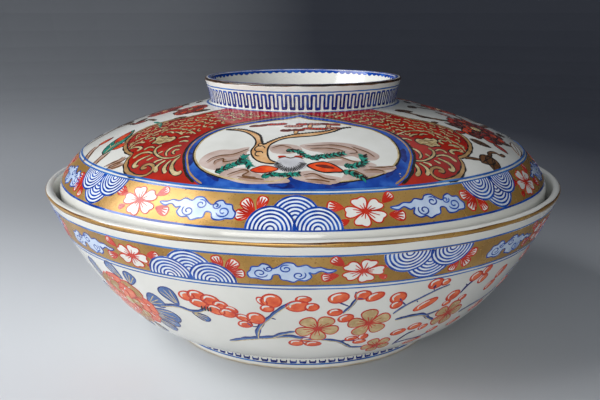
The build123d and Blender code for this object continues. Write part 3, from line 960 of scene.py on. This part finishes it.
GLAZE = material("porcelain_glaze", ((0.60, 0.60, 0.56), (0.66, 0.66, 0.62), (0.70, 0.70, 0.67)), 28,
                 (0.06, 0.12), bump=0.12, speck=(0.10, 0.07, 0.05))
BISCUIT = material("bare_clay", ((0.36, 0.30, 0.22), (0.46, 0.40, 0.31), (0.54, 0.48, 0.39)), 160,
                   (0.6, 0.8), bump=0.5)
PAINTS = {
    "cobalt": (((0, 0.022, 0.19), (0.002, 0.046, 0.31), (0.025, 0.115, 0.45)), 160, (0.06, 0.12)),
    "azure": (((0.004, 0.055, 0.26), (0.015, 0.105, 0.38), (0.06, 0.20, 0.50)), 120, (0.06, 0.12)),
    "navy": (((0, 0.004, 0.07), (0.002, 0.012, 0.15), (0.02, 0.06, 0.28)), 220, (0.06, 0.12)),
    "slate": (((0.025, 0.070, 0.22), (0.05, 0.13, 0.34), (0.10, 0.21, 0.46)), 160, (0.06, 0.12)),
    "sky": (((0.36, 0.48, 0.68), (0.46, 0.56, 0.73), (0.56, 0.65, 0.78)), 140, (0.06, 0.12)),
    "mist": (((0.56, 0.63, 0.73), (0.64, 0.69, 0.76), (0.70, 0.73, 0.77)), 140, (0.06, 0.12)),
    "white": (((0.62, 0.62, 0.58), (0.68, 0.68, 0.64), (0.73, 0.73, 0.70)), 60, (0.07, 0.13)),
    "deep_red": (((0.24, 0.004, 0), (0.33, 0.008, 0), (0.43, 0.020, 0.003)), 90, (0.07, 0.14)),
    "red": (((0.34, 0.010, 0.003), (0.47, 0.020, 0.006), (0.56, 0.045, 0.02)), 200, (0.1, 0.2)),
    "orange": (((0.56, 0.05, 0.010), (0.68, 0.11, 0.03), (0.76, 0.21, 0.08)), 240, (0.1, 0.2)),
    "fruit": (((0.56, 0.02, 0), (0.72, 0.06, 0.004), (0.80, 0.12, 0.02)), 240, (0.1, 0.2)),
    "rose": (((0.34, 0.12, 0.09), (0.46, 0.20, 0.15), (0.56, 0.30, 0.24)), 240, (0.1, 0.2)),
    "maroon": (((0.08, 0.004, 0.002), (0.14, 0.010, 0.004), (0.24, 0.025, 0.010)), 240, (0.12, 0.22)),
    "black": (((0.004, 0.003, 0.002), (0.009, 0.006, 0.004), (0.02, 0.013, 0.009)), 300, (0.18, 0.3)),
    "tan": (((0.48, 0.22, 0.08), (0.62, 0.34, 0.14), (0.72, 0.46, 0.24)), 220, (0.12, 0.25)),
    "old_gold": (((0.36, 0.24, 0.10), (0.48, 0.34, 0.16), (0.60, 0.46, 0.25)), 260, (0.15, 0.3)),
    "brass": (((0.26, 0.14, 0.05), (0.36, 0.21, 0.08), (0.48, 0.30, 0.13)), 220, (0.15, 0.3)),
    "umber": (((0.07, 0.028, 0.008), (0.12, 0.050, 0.016), (0.20, 0.09, 0.035)), 220, (0.15, 0.25)),
    "sepia": (((0.30, 0.18, 0.13), (0.38, 0.25, 0.19), (0.46, 0.33, 0.27)), 180, (0.08, 0.16)),
    "teal": (((0, 0.12, 0.09), (0.006, 0.21, 0.155), (0.03, 0.33, 0.25)), 320, (0.07, 0.14)),
    "mauve": (((0.36, 0.25, 0.215), (0.46, 0.345, 0.30), (0.58, 0.48, 0.44)), 110, (0.07, 0.14)),
    "grey": (((0.40, 0.40, 0.42), (0.50, 0.50, 0.53), (0.60, 0.60, 0.63)), 180, (0.07, 0.14)),
}
dict.fromkeys(("cobalt", "azure", "navy", "slate", "sky", "mist"), "underglaze_blue")
dict.fromkeys(("gold", "gilt", "old_gold", "brass"), "gilding")
paints = {name: material("paint_" + name, *recipe) for name, recipe in PAINTS.items()}
paints["gold"] = material("paint_gold", ((0.31, 0.165, 0.032), (0.40, 0.22, 0.05), (0.50, 0.30, 0.09)), 45,
                          (0.22, 0.36), metallic=0.4, bump=0.25, worn=(0.20, 0.10, 0.03))
paints["gilt"] = material("paint_gilt", ((0.38, 0.27, 0.11), (0.54, 0.42, 0.21), (0.70, 0.59, 0.36)), 260,
                          (0.2, 0.35), metallic=0.15)


# Pieces

def mesh_piece(name, verts, faces, body, surface, sharp):
    """A finished piece that rides on a CAD body. Edges over sharp degrees stay crisp."""
    mesh = bpy.data.meshes.new(name)
    mesh.from_pydata(verts, [], faces)
    mesh.polygons.foreach_set("use_smooth", [True] * len(mesh.polygons))
    mesh.set_sharp_from_angle(angle=math.radians(sharp))
    mesh.materials.append(surface)
    piece = bpy.data.objects.new(name, mesh)
    bpy.context.scene.collection.objects.link(piece)
    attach(piece, body)
    return piece


def turned(name, outline, body, node):
    """A clay piece turned from a closed outline. Points on the axis become one vertex each."""
    verts, rings = [], []
    for r, z in outline:
        count = 1 if r < 1e-6 else CLAY_COLUMNS
        angle = np.arange(count) * 2 * math.pi / CLAY_COLUMNS + FRONT
        rings.append(range(len(verts), len(verts) + count))
        verts += list(zip(r * np.cos(angle) * MM, r * np.sin(angle) * MM, np.full(count, z) * MM))
    faces = []
    for a, b in zip(rings, rings[1:] + rings[:1]):
        for i in range(CLAY_COLUMNS):
            j = (i + 1) % CLAY_COLUMNS
            corners = [a[i % len(a)], a[j % len(a)], b[j % len(b)], b[i % len(b)]]
            corners = list(dict.fromkeys(corners))
            if len(corners) > 2:
                faces.append(corners)
    piece = mesh_piece(name, verts, faces, body, GLAZE, 50)
    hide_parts(node)
    return piece


turned("porcelain_bowl", joined(wall_out, lip, wall_in, underside), "bowl", "bowl_shell")
foot = turned("porcelain_foot", joined(foot_out, foot_in), "bowl", "foot_ring")
turned("porcelain_lid", joined(lid_out, [(0, CROWN_Z)], lid_in), "lid", "lid_dome")
turned("porcelain_grip", joined(grip_out, grip_lip, grip_in), "lid", "grip_ring")

foot.data.materials.append(BISCUIT)
for face in foot.data.polygons:
    if face.center.z < 1.25 * MM:
        face.material_index = 1

bowl_skin = Skin(joined(wall_out, lip))
foot_skin = Skin(foot_out)
lid_skin = Skin(lid_out)
grip_skin = Skin(joined(grip_out, grip_lip))
grip_inner_skin = Skin(joined(grip_in[::-1], grip_lip[::-1]), side=-1)

# Heights up the outlines, in millimetres
LIP_HEIGHT = Skin(wall_out).lengths[-1]
BOWL_LINE, BOWL_LINE_LOW = 85.0, 71.0      # the blue lines above and below the bowl's gold band
LID_LINE, LID_LINE_LOW = 23.7, 9.4         # the same on the lid
EIGHTH = 2 * math.pi / 8
BOWL_BAND_R, LID_BAND_R = 116.5, 111.0     # radii of the middles of the gold bands
GRIP_OUT_R, GRIP_IN_R = 45.3, 43.0         # radii of the middles of the grip ring's two walls
WAVES, BOXES, SCALLOPS = 78, 98, 76        # how many marks each border has
BOWL_BAND_H = BOWL_LINE - BOWL_LINE_LOW - 1.0
LID_BAND_H = LID_LINE - LID_LINE_LOW - 0.5


def height_at(radius):
    """The height up the lid's outline where its dome has a radius."""
    return float(np.interp(-radius, -lid_skin.points[:, 0], lid_skin.lengths))


# The bowl
wall = WallPaper("bowl", bowl_skin, 0, 100)
band(wall, "umber", LIP_HEIGHT - 0.9, LIP_HEIGHT + 0.9, 0.03, 0.15, rows=10)
band(wall, "gold", LIP_HEIGHT - 0.6, LIP_HEIGHT + 0.6, 0.05, 0.22, rows=10)
band(wall, "azure", BOWL_LINE, BOWL_LINE + 0.7, 0.06)
band(wall, "gold", BOWL_LINE_LOW + 0.7, BOWL_LINE - 0.1, 0.04, 0.05, rows=8)
band(wall, "azure", BOWL_LINE_LOW + 0.1, BOWL_LINE_LOW + 0.85, 0.06)
band(wall, "azure", BOWL_LINE_LOW - 1.5, BOWL_LINE_LOW - 0.85, 0.03)
bowl_band = WallPaper("bowl", bowl_skin, BOWL_LINE_LOW + 0.9, BOWL_BAND_R, turn=1.2)
for k in range(8):
    nudge = 1.4 if k % 2 else -1.8
    band_unit(bowl_band, (k + 0.5) * EIGHTH * BOWL_BAND_R + nudge, k % 2 == 1, BOWL_BAND_H, True)
for turn in (0, 180):
    side = WallPaper("bowl", bowl_skin, 0, 100, turn)
    plum_branch(side)
    peony(side)
foot_paper = WallPaper("bowl", foot_skin, foot_skin.lengths[-1] - FOOT_H, FOOT_R)
foot_marks(foot_paper, BOXES, 3.7, 4.9)
band(foot_paper, "azure", 2.3, 3.0, 0.03)

# The lid
lid_wall = WallPaper("lid", lid_skin, 0, LID_BAND_R)
band(lid_wall, "cobalt", LID_LINE_LOW - 0.1, LID_LINE_LOW + 0.7, 0.06)
band(lid_wall, "gold", LID_LINE_LOW + 0.4, LID_LINE, 0.04, 0.05, rows=8)
band(lid_wall, "azure", LID_LINE - 0.2, LID_LINE + 0.5, 0.06)
lid_band = WallPaper("lid", lid_skin, LID_LINE_LOW + 0.4, LID_BAND_R, turn=-1.5)
for k in range(8):
    drift = -3.0 if k == 7 else 0.0
    band_unit(lid_band, k * EIGHTH * LID_BAND_R, k % 2 == 0, LID_BAND_H, False, drift)
for turn in (0, 180):
    dome = PlanPaper("lid", lid_skin, turn - 2.4)
    red_grounds(PlanPaper("lid", lid_skin, turn - 3.2))
    panel(PlanPaper("lid", lid_skin, turn - 1.9))
    rocks(dome)
    pine(dome)
    foreground(dome)
    garden(PlanPaper("lid", lid_skin, turn + 90 - 2.4))
shoulder_line = height_at(LINE_R)
band(lid_wall, "azure", shoulder_line - 0.4, shoulder_line + 0.4, 0.19)

# The grip ring
ring_line = height_at(CROWN_R + 1.3)
band(WallPaper("lid", lid_skin, 0, 45.0), "azure", ring_line - 0.6, ring_line + 0.4, 0.05)
grip_wall = WallPaper("lid", grip_skin, 0, GRIP_OUT_R)
meander(grip_wall, WAVES, 1.0, 6.9, 1.0)
band(grip_wall, "azure", 8.0, 8.6, 0.03)
grip_top = Skin(grip_out).lengths[-1]
band(grip_wall, "umber", grip_top - 0.1, grip_top + 1.2, 0.03, 0.12, rows=6)
band(grip_wall, "black", grip_top + 0.2, grip_top + 0.9, 0.05, 0.16, rows=6)
grip_inside = Skin(grip_in).lengths[-1]
grip_hollow = WallPaper("lid", grip_inner_skin, 0, GRIP_IN_R)
scallops(grip_hollow, SCALLOPS, grip_inside - 1.3, grip_inside + 2.2)

for (body, colour), (verts, faces) in paint.items():
    mesh_piece(body + "_" + colour, np.vstack(verts).tolist(), faces, body, paints[colour], 35)


# Stage

def area_light(name, at, aim, size, power, colour):
    """A soft rectangular light that points at a place."""
    data = bpy.data.lights.new(name, "AREA")
    data.shape = "RECTANGLE"
    data.size, data.size_y = size
    data.energy = power
    data.color = colour
    light = bpy.data.objects.new(name, data)
    light.location = at
    light.rotation_euler = (Vector(aim) - Vector(at)).to_track_quat("-Z", "Y").to_euler()
    bpy.context.scene.collection.objects.link(light)


def sweep():
    """A pale round table that curves up into a wall, with painted shade that darkens it towards the right,
    away from the window, and towards the back, where the light falls off.
    """
    outline = bezier((0.7, 0), (1.5, 0), (1.9, 0.2), (2.2, 1.6), 24)
    columns = 96
    angle = np.arange(columns) * 2 * math.pi / columns
    verts = [(r * math.cos(a), r * math.sin(a), z) for r, z in outline for a in angle]
    faces = [list(range(columns))]
    for k in range(len(outline) - 1):
        for i in range(columns):
            j = (i + 1) % columns
            faces.append([k * columns + i, (k + 1) * columns + i, (k + 1) * columns + j, k * columns + j])
    mesh = bpy.data.meshes.new("sweep")
    mesh.from_pydata(verts, [], faces)
    card = material("card", ((0.73, 0.755, 0.78), (0.75, 0.775, 0.80), (0.77, 0.795, 0.82)), 3, (0.5, 0.6))
    nodes, links = card.node_tree.nodes, card.node_tree.links
    pale = nodes["Principled BSDF"].inputs["Base Color"].links[0].from_socket
    place = nodes.new("ShaderNodeSeparateXYZ")
    links.new(nodes["Texture Coordinate"].outputs["Object"], place.inputs[0])

    def fade(axis, low, high, amount):
        """A value that rises from nothing to an amount between two places along an axis."""
        node = nodes.new("ShaderNodeMapRange")
        node.interpolation_type = "SMOOTHSTEP"
        node.inputs["From Min"].default_value = low
        node.inputs["From Max"].default_value = high
        node.inputs["To Max"].default_value = amount
        links.new(place.outputs[axis], node.inputs["Value"])
        return node.outputs["Result"]

    def added(first, second):
        """The sum of two values."""
        node = nodes.new("ShaderNodeMath")
        links.new(first, node.inputs[0])
        links.new(second, node.inputs[1])
        return node.outputs["Value"]

    # Painted shade: the pale card is mixed towards a dark blue-grey towards the back and towards the right,
    # in place of the light falling off there and the bowl's shadow.
    painted_back_shade = added(fade("Y", -0.06, 0.28, 0.52), fade("Y", 0.28, 1.4, 0.25))
    shade = added(fade("X", -0.40, 0.50, 0.50), painted_back_shade)
    mix = nodes.new("ShaderNodeMix")
    mix.data_type = "RGBA"
    mix.inputs[7].default_value = (0.048, 0.053, 0.070, 1)
    links.new(shade, mix.inputs[0])
    links.new(pale, mix.inputs[6])
    links.new(mix.outputs[2], nodes["Principled BSDF"].inputs["Base Color"])
    mesh.materials.append(card)
    stage = bpy.data.objects.new("sweep", mesh)
    bpy.context.scene.collection.objects.link(stage)


sweep()
world = bpy.data.worlds.new("studio")
world.use_nodes = True
background = world.node_tree.nodes["Background"]
background.inputs["Color"].default_value = (0.66, 0.72, 0.80, 1)
background.inputs["Strength"].default_value = 0.31
bpy.context.scene.world = world
bpy.context.scene.view_settings.view_transform = "Standard"
area_light("window", (-0.98, -0.26, 0.76), (0, 0, 0.06), (0.9, 0.9), 16, (0.98, 0.985, 1))
area_light("front_fill", (-0.30, -1.3, 0.34), (0, 0, 0.05), (1.0, 0.5), 9, (1, 0.98, 0.94))

CAMERA_AT = (0, -0.363, 0.1502)
CAMERA_DOWN = 13.98       # degrees that the camera looks below level
camera_data = bpy.data.cameras.new("camera")
camera_data.sensor_width = 36          # millimetres, as is the lens
camera_data.lens = 44.88
camera_data.shift_x = -0.0050
camera_data.clip_start = 0.01
camera = bpy.data.objects.new("camera", camera_data)
camera.location = CAMERA_AT
camera.rotation_euler = (math.radians(90 - CAMERA_DOWN), 0, 0)
bpy.context.scene.collection.objects.link(camera)
bpy.context.scene.camera = camera
